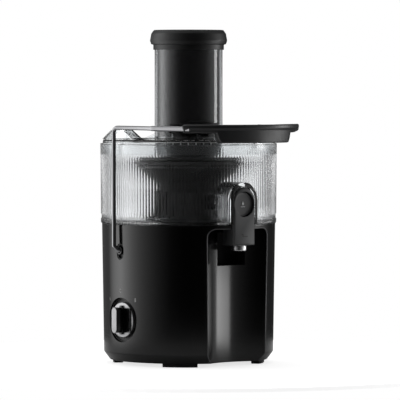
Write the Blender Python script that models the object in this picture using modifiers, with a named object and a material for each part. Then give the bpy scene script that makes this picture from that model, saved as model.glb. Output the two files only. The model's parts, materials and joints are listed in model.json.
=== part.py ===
"""Centrifugal juicer: motor base, clear pulp container and lid, wire bail, drip-stop spout and switch.

Metres, +Z up. The spout faces -Y and the rotary switch -X. Heights count from the table. Places are given
from the spin axis, and an empty there puts the middle of the whole machine over the origin.
"""

import math

import bmesh
import bpy
from mathutils import Matrix, Vector

# Driving dimensions
AXIS_X = 0.0004
AXIS_Y = 0.0185
GAP = 0.0003
STEPS = 48
STEPS_MIDDLE = 24
STEPS_SMALL = 16

FOOT_H = 0.0042
BASE_LOW = 0.0045
CHAMFER_TOP = 0.014
BASE_TOP = 0.169
BASE_R_TOP = 0.1048
BASE_R_LOW = 0.1024
BASE_R_CHAMFER = 0.0952
WALL = 0.003
DECK = 0.006

RECESS_R = 0.080
RECESS_CENTRE = 0.159
RECESS_TOP = 0.165
RECESS_HALF = 0.047
RECESS_CORNER = 0.0105
POCKET_HALF = 0.0213
POCKET_LOW = 0.120
POCKET_DEEP = 0.062
NOTCH_HALF = 0.0173
NOTCH_DEEP = 0.0835

RING_TOP = 0.265
RING_R_TOP = 0.1067
RING_R_LOW = 0.1060
RING_FLOOR = 0.172
RING_WALL = 0.0022
NICHE_HALF = 0.017
NICHE_TOP = 0.2152
NICHE_FRAME = 0.0212
NICHE_FRAME_TOP = 0.220

LID_TOP = 0.2705
LID_R = 0.1039
LID_PLATE = 0.0025
SKIRT_LOW = 0.2532
CHUTE_R = 0.041
CHUTE_BORE = 0.0385
CHUTE_TOP = 0.3835
CHUTE_LOW = 0.242
BUTTRESS_TOP = 0.2818

BOWL_FLOOR = 0.186
BOWL_TOP = 0.244
OUTLET_Z = 0.194
OUTLET_R = 0.009
OUTLET_END = 0.0842

COVER_HALF = 0.0162
COVER_LOW = 0.145
COVER_TOP = 0.214
COVER_FRONT = 0.1075
COVER_BACK = 0.086
BUTTON_R = 0.0147
NOZZLE_Y = -0.096

PIVOT_Z = 0.138
WIRE_R = 0.0025
LEG_X = 0.110
LEG_Y = 0.0045
WIRE_TOP = 0.2848
SOCKET = Vector((0.081, -0.106, 0.2835))
GRIP_ARC_CENTRE = -0.0287
GRIP_INNER_R = 0.084
GRIP_OUTER_R = 0.112
GRIP_LIP_R = 0.115
GRIP_TOP = 0.289
GRIP_MIDDLE = 0.2785
GRIP_LOW = 0.267
GRIP_HALF_ANGLE = 52
SKIRT_HALF_ANGLE = 29

KNOB_Z = 0.055
KNOB_R = 0.0212
KNOB_RECESS_R = 0.0253
KNOB_BEZEL_R = 0.0264
KNOB_RECESS_X = -0.0970

PUSHER_R = 0.0374
PUSHER_LOW = 0.245
CAP_TOP = 0.402
CAP_R = 0.0467

SHAFT_R = 0.004
MOTOR_R = 0.050

COLOURS = {
    "black_gloss": ((0.012, 0.012, 0.013), 0.18, 0.0),
    "black_matte": ((0.022, 0.023, 0.024), 0.45, 0.0),
    "charcoal": ((0.045, 0.048, 0.050), 0.55, 0.0),
    "grey_satin": ((0.12, 0.125, 0.13), 0.38, 0.0),
    "pale_grey": ((0.62, 0.63, 0.64), 0.4, 0.0),
    "clear": ((0.9, 0.92, 0.93), 0.05, 0.0),
    "smoke": ((0.03, 0.031, 0.033), 0.25, 0.0),
    "silver": ((0.62, 0.63, 0.65), 0.3, 0.9),
    "chrome": ((0.8, 0.8, 0.81), 0.08, 1.0),
    "steel": ((0.58, 0.58, 0.6), 0.3, 1.0),
    "laminate": ((0.28, 0.29, 0.3), 0.45, 0.8),
    "copper": ((0.65, 0.3, 0.14), 0.35, 1.0),
    "rubber": ((0.03, 0.03, 0.03), 0.8, 0.0),
    "nylon": ((0.75, 0.73, 0.68), 0.5, 0.0),
    "board": ((0.05, 0.22, 0.09), 0.5, 0.0),
    "carbon": ((0.05, 0.05, 0.055), 0.6, 0.2),
}


# Scene and helpers


def clear_scene():
    for obj in list(bpy.data.objects):
        bpy.data.objects.remove(obj, do_unlink=True)


def new_collection(name):
    found = bpy.data.collections.new(name)
    bpy.context.scene.collection.children.link(found)
    return found


def material(name):
    found = bpy.data.materials.get(name)
    if found:
        return found
    colour, roughness, metallic = COLOURS[name]
    made = bpy.data.materials.new(name)
    made.use_nodes = True
    shader = made.node_tree.nodes["Principled BSDF"]
    shader.inputs["Base Color"].default_value = (*colour, 1.0)
    shader.inputs["Roughness"].default_value = roughness
    shader.inputs["Metallic"].default_value = metallic
    return made


def empty(name, at, parent=None):
    made = bpy.data.objects.new(name, None)
    PARTS.objects.link(made)
    made.location = Vector(at)
    if parent:
        made.parent = parent
        made.location -= origin_of(parent)
    return made


def origin_of(obj):
    """The object's place counted from the spin axis."""
    place = Vector(obj.location)
    while obj.parent:
        obj = obj.parent
        place += obj.location
    return place - Vector((AXIS_X, AXIS_Y, 0))


def add(name, data, look, at=(0, 0, 0), turn=None, parent=None, smooth=True):
    """Puts the mesh or curve into the scene at a place counted from the spin axis."""
    made = bpy.data.objects.new(name, data)
    helper = look is None
    (CUTTERS if helper else PARTS).objects.link(made)
    if helper:
        made.hide_render = True
        made.display_type = "WIRE"
    else:
        data.materials.append(material(look))
    made.parent = parent or AXIS
    made.location = Vector(at) - origin_of(made.parent)
    if turn:
        made.rotation_euler = turn
    if smooth and isinstance(data, bpy.types.Mesh):
        data.shade_smooth()
        data.set_sharp_from_angle(angle=math.radians(35))
    return made


def box(name, low, high, look=None, parent=None):
    low = Vector(low)
    high = Vector(high)
    size = high - low
    shape = bmesh.new()
    bmesh.ops.create_cube(shape, size=1, matrix=Matrix.Diagonal((*size, 1)))
    data = bpy.data.meshes.new(name)
    shape.to_mesh(data)
    shape.free()
    return add(name, data, look, (low + high) / 2, parent=parent, smooth=False)


def rod(name, radius, start, end, look=None, parent=None, steps=STEPS_SMALL):
    """A solid cylinder from one point to another."""
    start = Vector(start)
    end = Vector(end)
    way = end - start
    shape = bmesh.new()
    turn = Vector((0, 0, 1)).rotation_difference(way).to_matrix().to_4x4()
    bmesh.ops.create_cone(
        shape,
        cap_ends=True,
        segments=steps,
        radius1=radius,
        radius2=radius,
        depth=way.length,
        matrix=turn,
    )
    data = bpy.data.meshes.new(name)
    shape.to_mesh(data)
    shape.free()
    return add(name, data, look, (start + end) / 2, parent=parent)


def turned(name, profile, look=None, at=(0, 0, 0), turn=None, parent=None, steps=STEPS):
    """A turned shape. The profile's (radius, height) points run down the outer side, top to bottom."""
    loop = profile[0][0] > 0
    data = bpy.data.meshes.new(name)
    last = len(profile)
    edges = [(i, i + 1) for i in range(last - 1)]
    if loop:
        edges.append((last - 1, 0))
    data.from_pydata([(r, 0, z) for r, z in profile], edges, [])
    made = add(name, data, look, at, turn, parent, smooth=False)
    screw = made.modifiers.new("turn", "SCREW")
    screw.steps = steps
    screw.render_steps = steps
    screw.use_merge_vertices = True
    screw.merge_threshold = 0.00001
    screw.use_smooth_shade = True
    return made


def ring(name, inner, outer, low, high, look=None, at=(0, 0, 0), turn=None, parent=None, steps=STEPS_MIDDLE):
    profile = [(outer, high), (outer, low), (inner, low), (inner, high)]
    return turned(name, profile, look, at, turn, parent, steps)


def to_mesh(curve):
    """The evaluated curve as a mesh object with welded caps, in the curve's place."""
    bpy.context.view_layer.update()
    graph = bpy.context.evaluated_depsgraph_get()
    data = bpy.data.meshes.new_from_object(curve.evaluated_get(graph))
    shape = bmesh.new()
    shape.from_mesh(data)
    bmesh.ops.remove_doubles(shape, verts=shape.verts, dist=0.000001)
    bmesh.ops.recalc_face_normals(shape, faces=shape.faces)
    shape.to_mesh(data)
    shape.free()
    name = curve.name
    home = curve.users_collection[0]
    parent = curve.parent
    world = curve.matrix_world.copy()
    hidden = curve.hide_render
    bpy.data.objects.remove(curve)
    made = bpy.data.objects.new(name, data)
    home.objects.link(made)
    made.parent = parent
    made.matrix_world = world
    if hidden:
        made.hide_render = True
        made.display_type = "WIRE"
    return made


def outline_curve(name, outline, thickness):
    """A filled flat curve with a closed outline, extruded to a thickness."""
    data = bpy.data.curves.new(name, "CURVE")
    data.dimensions = "2D"
    data.fill_mode = "BOTH"
    data.extrude = thickness / 2
    line = data.splines.new("POLY")
    line.points.add(len(outline) - 1)
    for point, (x, y) in zip(line.points, outline):
        point.co = (x, y, 0, 1)
    line.use_cyclic_u = True
    return data


def plate(name, outline, low, high, look=None, upright=False, parent=None):
    """A flat outline made thick: (x, y) from z low to high, or upright (x, z) from y low to high."""
    data = outline_curve(name, outline, high - low)
    middle = (low + high) / 2
    at = (0, middle, 0) if upright else (0, 0, middle)
    turn = (math.pi / 2, 0, 0) if upright else None
    return to_mesh(add(name, data, look, at, turn, parent))


def side_plate(name, outline, side, near, far, look=None):
    """An outline of (y, z) points made thick along X, from |x| near to far on one side."""
    data = outline_curve(name, outline, far - near)
    at = (side * (near + far) / 2, 0, 0)
    return to_mesh(add(name, data, look, at, (math.pi / 2, 0, math.pi / 2)))


def wire(name, points, radius, look=None, parent=None, resolution=2):
    """A round wire through points counted from the spin axis."""
    parent = parent or AXIS
    home = origin_of(parent)
    data = bpy.data.curves.new(name, "CURVE")
    data.dimensions = "3D"
    data.bevel_depth = radius
    data.bevel_resolution = resolution
    data.use_fill_caps = True
    line = data.splines.new("POLY")
    line.points.add(len(points) - 1)
    for point, place in zip(line.points, points):
        point.co = (*(Vector(place) - home), 1)
    return to_mesh(add(name, data, look, home, parent=parent))


def boolean(obj, tool, operation):
    step = obj.modifiers.new(tool.name, "BOOLEAN")
    step.operation = operation
    step.solver = "EXACT"
    step.object = tool
    return obj


def cut(obj, *tools):
    for tool in tools:
        boolean(obj, tool, "DIFFERENCE")
    return obj


def join(obj, *tools):
    for tool in tools:
        boolean(obj, tool, "UNION")
    return obj


def arc(radius, start, end, count, centre=(0, 0)):
    """Points on an arc, with angles in degrees from +X."""
    points = []
    for i in range(count + 1):
        angle = math.radians(start + (end - start) * i / count)
        x = centre[0] + radius * math.cos(angle)
        y = centre[1] + radius * math.sin(angle)
        points.append((x, y))
    return points


def sector(inner, outer, middle, half, count, centre=(0, 0)):
    """The outline of a stretch of a flat ring."""
    out = arc(outer, middle - half, middle + half, count, centre)
    back = arc(inner, middle + half, middle - half, count, centre)
    return out + back


def arch(half, low, top, count=14):
    """An upright outline with a round top."""
    return [(-half, low), (half, low)] + arc(half, 0, 180, count, (0, top - half))


def filleted(corners, radius, count=4):
    """The corner points of a bent wire, each inner one made an arc."""
    points = [Vector(corners[0])]
    for before, here, after in zip(corners, corners[1:], corners[2:]):
        here = Vector(here)
        back = (Vector(before) - here).normalized()
        on = (Vector(after) - here).normalized()
        half = back.angle(on) / 2
        reach = radius / math.tan(half)
        for i in range(count + 1):
            t = i / count
            start = here + back * reach
            end = here + on * reach
            points.append(start * (1 - t) ** 2 + here * 2 * t * (1 - t) + end * t**2)
    points.append(Vector(corners[-1]))
    return points


# Motor base


def recess_tool(name, grow):
    """The space for the glass: a round-backed bay with rounded upper corners."""
    bay = rod(
        name,
        RECESS_R + grow,
        (0, -RECESS_CENTRE, -0.01),
        (0, -RECESS_CENTRE, RECESS_TOP + grow),
        steps=STEPS * 2,
    )
    if not grow:
        corner = RECESS_CORNER
        half = RECESS_HALF
        outline = [(-half, -0.02), (half, -0.02)]
        outline += arc(corner, 0, 90, 6, (half - corner, RECESS_TOP - corner))
        outline += arc(corner, 90, 180, 6, (corner - half, RECESS_TOP - corner))
        boolean(bay, plate("recess_face", outline, -0.15, -0.05, upright=True), "INTERSECT")
    return bay


def motor_housing():
    shell = turned(
        "motor_housing",
        [
            (0, BASE_TOP),
            (BASE_R_TOP, BASE_TOP),
            (BASE_R_LOW, CHAMFER_TOP),
            (BASE_R_CHAMFER, BASE_LOW),
            (0, BASE_LOW),
        ],
        "black_gloss",
    )
    hollow = turned(
        "housing_hollow",
        [
            (0, BASE_TOP - DECK),
            (BASE_R_TOP - WALL, BASE_TOP - DECK),
            (BASE_R_LOW - WALL, CHAMFER_TOP + 0.001),
            (BASE_R_CHAMFER - WALL, BASE_LOW),
            (BASE_R_CHAMFER - WALL, -0.01),
            (0, -0.01),
        ],
    )
    cut(hollow, recess_tool("recess_backing", WALL))
    pocket_backing = box(
        "pocket_backing",
        (-POCKET_HALF - WALL, -0.15, POCKET_LOW - WALL),
        (POCKET_HALF + WALL, -POCKET_DEEP + WALL, BASE_TOP),
    )
    cut(hollow, pocket_backing)
    pocket = box(
        "pocket",
        (-POCKET_HALF, -0.10, POCKET_LOW),
        (POCKET_HALF, -POCKET_DEEP, RECESS_TOP - 0.005),
    )
    notch = box("notch", (-NOTCH_HALF, -0.12, 0.15), (NOTCH_HALF, -NOTCH_DEEP, 0.18))
    deck_hole = rod("deck_hole", 0.014, (0, 0, 0.15), (0, 0, 0.18), steps=STEPS_MIDDLE)
    ends = ((-0.12, 0, KNOB_Z), (-0.08, 0, KNOB_Z))
    knob_hole = rod("knob_hole", KNOB_BEZEL_R + GAP, *ends, steps=STEPS_MIDDLE)
    cord_hole = rod("cord_hole", 0.0085, (0, 0.08, 0.03), (0, 0.12, 0.03))
    cut(shell, hollow, recess_tool("recess", 0), pocket, notch, deck_hole, knob_hole, cord_hole)
    for side in (-1, 1):
        cut(shell, side_plate(f"pivot_hole_{side}", pivot_outline(0.0066, 0.0098), side, 0.09, 0.12))


def pivot_outline(half, tall):
    """An upright oblong with round ends, a little below the pivot's height."""
    middle = PIVOT_Z - 0.0012
    upper = arc(half, 0, 180, 8, (0, middle + tall - half))
    return upper + arc(half, 180, 360, 8, (0, middle + half - tall))


def bottom():
    cover = turned(
        "bottom_cover",
        [(0, 0.0075), (0.0918, 0.0075), (0.0918, BASE_LOW), (0, BASE_LOW)],
        "black_matte",
    )
    ends = ((0, -RECESS_CENTRE, -0.01), (0, -RECESS_CENTRE, 0.02))
    cut(cover, rod("cover_bay", RECESS_R + 0.0035, *ends, steps=STEPS))
    for i in range(5):
        x = -0.024 + 0.012 * i
        cut(cover, box(f"vent_{i}", (x - 0.0018, -0.03, 0), (x + 0.0018, 0.03, 0.02)))
    for i, angle in enumerate((20, 160, 200, 340)):
        x = 0.084 * math.cos(math.radians(angle))
        y = 0.084 * math.sin(math.radians(angle))
        hole = rod(f"screw_hole_{i}", 0.0022, (x, y, 0), (x, y, 0.02), steps=12)
        sink = rod(f"screw_sink_{i}", 0.0041, (x, y, 0), (x, y, 0.0066), steps=12)
        cut(cover, hole, sink)
        turned(
            f"base_screw_{i + 1}",
            [
                (0, 0.0142),
                (0.0019, 0.0142),
                (0.0019, 0.0064),
                (0.0038, 0.0064),
                (0.0038, 0.0048),
                (0, 0.0048),
            ],
            "steel",
            at=(x, y, 0),
            steps=12,
        )
    names = ("foot_rear_right", "foot_rear_left", "foot_front_left", "foot_front_right")
    for i, name in enumerate(names):
        plate(name, sector(0.079, 0.0915, 45 + 90 * i, 13.5, 8), 0, FOOT_H, "rubber")


def rotary_switch():
    turn = (0, -math.pi / 2, 0)
    turned(
        "knob_bezel",
        [
            (KNOB_BEZEL_R, 0.0989),
            (KNOB_BEZEL_R, 0.0945),
            (0.0036, 0.0945),
            (0.0036, -KNOB_RECESS_X),
            (KNOB_RECESS_R, -KNOB_RECESS_X),
            (KNOB_RECESS_R, 0.0989),
        ],
        "black_matte",
        (0, 0, KNOB_Z),
        turn,
        steps=STEPS_MIDDLE,
    )
    low = (-0.0935, -0.014, KNOB_Z - 0.0145)
    high = (-0.070, 0.014, KNOB_Z + 0.0145)
    switch = box("speed_switch", low, high, "nylon")
    cut(switch, rod("switch_bore", 0.0033, (-0.10, 0, KNOB_Z), (-0.080, 0, KNOB_Z), steps=12))
    knob_axis = empty("knob_axis", (0, 0, KNOB_Z), AXIS)
    turned(
        "knob_disc",
        [(0, 0.1015), (KNOB_R - 0.001, 0.1015), (KNOB_R, 0.1005), (KNOB_R, 0.0974), (0, 0.0974)],
        "silver",
        (0, 0, KNOB_Z),
        turn,
        knob_axis,
        steps=STEPS_MIDDLE,
    )
    rod("knob_shaft", 0.003, (-0.0971, 0, KNOB_Z), (-0.084, 0, KNOB_Z), "steel", knob_axis, steps=12)
    bar = box(
        "knob_bar",
        (-0.1124, -0.0058, KNOB_Z - 0.0158),
        (-0.1018, 0.0058, KNOB_Z + 0.0158),
        "black_gloss",
        knob_axis,
    )
    edge = bar.modifiers.new("edge", "BEVEL")
    edge.width = 0.0015
    edge.segments = 2
    low = (-0.1026, -0.0166, KNOB_Z - 0.0152)
    join(bar, box("knob_plate", low, (-0.1018, 0.0166, KNOB_Z + 0.0152)))
    box(
        "knob_inlay",
        (-0.1134, -0.0045, KNOB_Z - 0.0155),
        (-0.1127, 0.0045, KNOB_Z + 0.0155),
        "pale_grey",
        knob_axis,
    )


def pivots():
    for side, word in ((-1, "left"), (1, "right")):
        outline = pivot_outline(0.0063, 0.0095)
        bush = side_plate(f"pivot_bush_{word}", outline, side, 0.0975, 0.1033, "black_matte")
        ends = ((side * 0.09, 0, PIVOT_Z), (side * 0.12, 0, PIVOT_Z))
        cut(bush, rod(f"pin_bore_{word}", WIRE_R + GAP, *ends))


def electrics():
    box("control_board", (-0.035, 0.025, 0.020), (0.035, 0.070, 0.0216), "board")
    box("interlock_switch", (0.082, -0.008, 0.126), (0.0935, 0.010, 0.148), "black_matte")
    turn = (-math.pi / 2, 0, 0)
    ring("cord_inlet", 0.0038, 0.0080, 0.094, 0.1062, "rubber", (0, 0, 0.030), turn, steps=STEPS_SMALL)


# Motor


def motor():
    ring("motor_mount_ring", 0.034, 0.046, 0.1563, 0.1627, "rubber")
    seat = 0.0113
    turned(
        "motor_upper_bracket",
        [(MOTOR_R, 0.156), (MOTOR_R, 0.152), (0.016, 0.152), (0.016, 0.143), (seat, 0.143), (seat, 0.156)],
        "laminate",
        steps=STEPS_MIDDLE,
    )
    turned(
        "motor_lower_bracket",
        [(MOTOR_R, 0.076), (MOTOR_R, 0.072), (0.016, 0.072), (0.016, 0.064), (seat, 0.064), (seat, 0.076)],
        "laminate",
        steps=STEPS_MIDDLE,
    )
    ring("upper_bearing", SHAFT_R + GAP, 0.011, 0.1435, 0.1505, "steel")
    ring("lower_bearing", SHAFT_R + GAP, 0.011, 0.0645, 0.0715, "steel")
    ring("shaft_seal", SHAFT_R + GAP, 0.0137, 0.1635, 0.1685, "rubber")
    core = ring("stator_core", 0.040, MOTOR_R, 0.100, 0.132, "laminate")
    for side, word in ((0, "right"), (180, "left")):
        pole = plate(f"pole_{word}", sector(0.0262, 0.044, side, 24, 8), 0.1015, 0.1305)
        join(core, pole)
        below = arc(0.033, side - 42, side + 42, 6)
        above = arc(0.033, side + 42, side - 42, 6)
        coil = [(x, y, 0.0955) for x, y in below] + [(x, y, 0.1365) for x, y in above]
        coil_loop(f"field_coil_{word}", coil)
    for side, word in ((-1, "front"), (1, "rear")):
        low = min(side * 0.016, side * 0.036)
        high = max(side * 0.016, side * 0.036)
        holder = box(f"brush_holder_{word}", (-0.0045, low, 0.0815), (0.0045, high, 0.0905), "nylon")
        tunnel = box(f"brush_tunnel_{word}", (-0.0028, low - 0.01, 0.0832), (0.0028, high + 0.01, 0.0888))
        cut(holder, tunnel)
        near = min(side * 0.0135, side * 0.030)
        far = max(side * 0.0135, side * 0.030)
        box(f"carbon_brush_{word}", (-0.0025, near, 0.0835), (0.0025, far, 0.0885), "carbon")


def coil_loop(name, points):
    """A closed winding of thick round section."""
    data = bpy.data.curves.new(name, "CURVE")
    data.dimensions = "3D"
    data.bevel_depth = 0.0042
    data.bevel_resolution = 1
    line = data.splines.new("POLY")
    line.points.add(len(points) - 1)
    for point, place in zip(line.points, points):
        point.co = (*place, 1)
    line.use_cyclic_u = True
    return to_mesh(add(name, data, "copper"))


def rotor():
    spin = empty("rotor_axis", (0, 0, 0), AXIS)
    bore = SHAFT_R + GAP
    rod("motor_shaft", SHAFT_R, (0, 0, 0.048), (0, 0, 0.211), "steel", spin)
    turned(
        "armature_core",
        [
            (0.019, 0.140),
            (0.022, 0.1345),
            (0.0252, 0.1325),
            (0.0252, 0.0995),
            (0.022, 0.0975),
            (0.019, 0.0925),
            (bore, 0.0925),
            (bore, 0.140),
        ],
        "laminate",
        parent=spin,
        steps=STEPS_MIDDLE,
    )
    ring("commutator", bore, 0.0132, 0.078, 0.0922, "copper", parent=spin, steps=24)
    fan = turned(
        "cooling_fan",
        [(0.042, 0.0545), (0.042, 0.053), (bore, 0.053), (bore, 0.0625), (0.009, 0.0625), (0.009, 0.0545)],
        "nylon",
        parent=spin,
        steps=STEPS_MIDDLE,
    )
    for i in range(8):
        blade = box(f"fan_blade_{i}", (0.012, -0.0008, 0.0535), (0.040, 0.0008, 0.0615), parent=spin)
        angle = math.radians(45 * i)
        blade.location = Matrix.Rotation(angle, 4, "Z") @ blade.location
        blade.rotation_euler = (0, 0, angle)
        join(fan, blade)
    ring("drive_coupler", bore, 0.012, 0.1715, 0.1885, "nylon", parent=spin, steps=24)
    turned(
        "basket_hub",
        [
            (0.0125, 0.2075),
            (0.0125, 0.2062),
            (0.0375, 0.2062),
            (0.0375, 0.2030),
            (0.0125, 0.2030),
            (0.0125, 0.1890),
            (bore, 0.1890),
            (bore, 0.2075),
        ],
        "smoke",
        parent=spin,
        steps=STEPS_MIDDLE,
    )
    turned(
        "filter_basket",
        [(0.0692, 0.2465), (0.0388, 0.2065), (0.0374, 0.2065), (0.0374, 0.2068), (0.0678, 0.2468)],
        "steel",
        parent=spin,
    )
    ring("basket_rim", 0.0672, 0.0702, 0.2472, 0.2505, "smoke", parent=spin, steps=STEPS)
    turned(
        "grating_disc",
        [
            (0.0365, 0.2085),
            (0.0365, 0.2073),
            (0.0130, 0.2073),
            (0.0130, 0.2080),
            (0.0045, 0.2080),
            (0.0045, 0.2092),
            (0.0130, 0.2092),
        ],
        "steel",
        parent=spin,
        steps=STEPS_MIDDLE,
    )


# Juice path


def pulp_ring():
    wall = turned(
        "pulp_ring",
        [
            (RING_R_TOP, RING_TOP),
            (RING_R_LOW, BASE_TOP + GAP),
            (RING_R_LOW - RING_WALL, BASE_TOP + GAP),
            (RING_R_TOP - RING_WALL, RING_TOP),
        ],
        "clear",
    )
    opening = arch(NICHE_FRAME + GAP, 0.16, NICHE_FRAME_TOP + GAP)
    cut(wall, plate("niche_opening", opening, -0.12, -0.080, upright=True))
    floor = turned(
        "pulp_floor",
        [
            (RING_R_LOW - RING_WALL - GAP, RING_FLOOR),
            (RING_R_LOW - RING_WALL - GAP, BASE_TOP + GAP),
            (0.0474, BASE_TOP + GAP),
            (0.0474, 0.180),
            (0.0496, 0.180),
            (0.0496, RING_FLOOR),
        ],
        "clear",
    )
    boss_outline = arch(NICHE_FRAME, BASE_TOP + 0.0005, NICHE_FRAME_TOP)
    boss = plate("niche_boss", boss_outline, -0.1062, -0.080, upright=True)
    niche = plate("niche", arch(NICHE_HALF, 0.16, NICHE_TOP), -0.12, -0.083, upright=True)
    hole = rod("outlet_hole", OUTLET_R + GAP, (0, -0.09, OUTLET_Z), (0, -0.075, OUTLET_Z))
    join(floor, boss)
    cut(floor, niche, hole)


def juice_bowl():
    bowl = turned(
        "juice_bowl",
        [
            (0.077, BOWL_TOP),
            (0.077, 0.2395),
            (0.0745, 0.2375),
            (0.0545, 0.218),
            (0.047, 0.205),
            (0.047, BASE_TOP + GAP),
            (0.0445, BASE_TOP + GAP),
            (0.0445, 0.206),
            (0.052, 0.2195),
            (0.0725, 0.2395),
            (0.0735, BOWL_TOP),
        ],
        "smoke",
    )
    tube = rod("outlet_tube", OUTLET_R, (0, -0.0455, OUTLET_Z), (0, -OUTLET_END, OUTLET_Z), steps=24)
    bore = rod("outlet_bore", 0.0074, (0, -0.040, OUTLET_Z), (0, -0.09, OUTLET_Z), steps=24)
    join(bowl, tube)
    cut(bowl, bore)
    turned(
        "juice_trough",
        [
            (0.0445 - GAP, BOWL_FLOOR),
            (0.0445 - GAP, 0.1835),
            (0.0145, 0.1835),
            (0.0145, 0.2005),
            (0.0170, 0.2005),
            (0.0170, BOWL_FLOOR),
        ],
        "smoke",
    )


def spout():
    body = box("spout_housing", (-0.010, -0.0965, 0.150), (0.010, -OUTLET_END - GAP, 0.206), "smoke")
    lower = box("spout_lower", (-0.0098, -0.1045, 0.1465), (0.0098, -0.0868, 0.176))
    join(body, lower)
    chamber = box("chamber", (-0.007, -0.091, 0.157), (0.007, -0.0875, 0.203))
    trough = box("trough", (-0.006, -0.0985, 0.1525), (0.006, -0.0873, 0.172))
    drain = rod("drain", 0.0055, (0, NOZZLE_Y, 0.14), (0, NOZZLE_Y, 0.155))
    port = rod("port", 0.005, (0, -0.080, OUTLET_Z), (0, -0.090, OUTLET_Z))
    well = rod("spring_well", 0.0068, (0, -0.1, OUTLET_Z), (0, -0.0928, OUTLET_Z))
    guide = rod("stem_guide", 0.0019, (0, -0.1, OUTLET_Z), (0, -0.088, OUTLET_Z), steps=12)
    cut(body, chamber, trough, drain, port, well, guide)

    outline = arch(COVER_HALF, COVER_LOW, COVER_TOP)
    cover = plate("spout_cover", outline, -COVER_FRONT, -COVER_BACK, "grey_satin", True)
    hollow = arch(0.0142, 0.13, COVER_TOP - 0.002)
    inside = plate("cover_inside", hollow, -COVER_FRONT + 0.0022, -0.07, upright=True)
    window = rod(
        "button_window",
        BUTTON_R + 0.0004,
        (0, -0.12, OUTLET_Z),
        (0, -0.0965, OUTLET_Z),
        steps=STEPS_MIDDLE,
    )
    cut(cover, inside, window)
    turned(
        "spout_nozzle",
        [
            (0.0093, COVER_LOW - 0.0004),
            (0.0095, 0.1395),
            (0.0088, 0.1385),
            (0.0078, 0.1385),
            (0.0078, COVER_LOW - 0.0004),
        ],
        "silver",
        (0, NOZZLE_Y, 0),
        steps=24,
    )

    press = empty("button_axis", (0, -0.104, OUTLET_Z), AXIS)
    turned(
        "drip_button",
        [
            (0, 0),
            (BUTTON_R - 0.0006, 0),
            (BUTTON_R, -0.0006),
            (BUTTON_R, -0.003),
            (0.0015, -0.003),
            (0.0015, -0.0237),
            (0, -0.0237),
        ],
        "grey_satin",
        (0, -0.1042, OUTLET_Z),
        (math.pi / 2, 0, 0),
        press,
        steps=STEPS_MIDDLE,
    )
    ring(
        "valve_seal",
        0.0018,
        0.0064,
        0.0815,
        0.0842,
        "rubber",
        (0, 0, OUTLET_Z),
        (math.pi / 2, 0, 0),
        press,
        steps=STEPS_SMALL,
    )
    turns = 3
    count = 8
    points = []
    for i in range(turns * count + 1):
        angle = 2 * math.pi * i / count
        along = -0.0938 - 0.0062 * i / (turns * count)
        points.append((0.0048 * math.cos(angle), along, OUTLET_Z + 0.0048 * math.sin(angle)))
    wire("valve_spring", points, 0.0005, "steel", press, resolution=1)


# Lid, bail and pusher


def lid():
    top = turned(
        "lid",
        [
            (CHUTE_R + GAP, LID_TOP),
            (LID_R - 0.0024, LID_TOP),
            (LID_R, LID_TOP - 0.0024),
            (LID_R, SKIRT_LOW),
            (LID_R - 0.0022, SKIRT_LOW),
            (LID_R - 0.0022, LID_TOP - LID_PLATE),
            (CHUTE_R + GAP, LID_TOP - LID_PLATE),
        ],
        "clear",
    )
    ring("feed_chute", CHUTE_BORE, CHUTE_R, CHUTE_LOW, CHUTE_TOP, "clear", steps=STEPS)
    low = LID_TOP - 0.001
    for side in (-1, 1):
        outline = [(-0.024, low), (0.040, low), (0.023, BUTTRESS_TOP), (-0.004, BUTTRESS_TOP)]
        block = side_plate(f"buttress_{side}", outline, side, 0.088, 0.1005)
        near = BUTTRESS_TOP - 0.003
        far = BUTTRESS_TOP - 0.0001
        saddle = [(-0.004, near), (0.012, near), (0.012, far), (-0.004, far)]
        join(top, block, side_plate(f"saddle_{side}", saddle, side, 0.099, 0.1064))


def arm_points(side):
    """The wire from its pin in the base to its end in the grip's socket."""
    corners = [
        (side * 0.0968, 0, PIVOT_Z),
        (side * 0.1065, 0, PIVOT_Z),
        (side * LEG_X, LEG_Y, PIVOT_Z + 0.0055),
        (side * LEG_X, LEG_Y, WIRE_TOP),
        (side * SOCKET.x, SOCKET.y, SOCKET.z),
    ]
    return filleted(corners[:4], 0.003, 3)[:-1] + filleted(corners[2:], 0.006, 5)[1:]


def bail():
    swing = empty("bail_pivot", (0, 0, PIVOT_Z), AXIS)
    centre = (0, GRIP_ARC_CENTRE)
    grip = plate(
        "bail_grip",
        sector(GRIP_INNER_R, GRIP_LIP_R, -90, GRIP_HALF_ANGLE, 26, centre),
        GRIP_MIDDLE,
        GRIP_TOP,
        "grey_satin",
        parent=swing,
    )
    skirt = plate(
        "grip_skirt",
        sector(GRIP_INNER_R + 0.0005, GRIP_OUTER_R, -90, SKIRT_HALF_ANGLE, 16, centre),
        GRIP_LOW,
        GRIP_MIDDLE + 0.002,
        parent=swing,
    )
    join(grip, skirt)
    for side, word in ((-1, "left"), (1, "right")):
        points = arm_points(side)
        wire(f"bail_arm_{word}", points, WIRE_R, "chrome", swing)
        end = points[-1] + (points[-1] - points[-2]).normalized() * GAP
        socket = wire(f"socket_{word}", [points[-2], end], WIRE_R + GAP, None, swing)
        cut(grip, socket)


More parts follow.
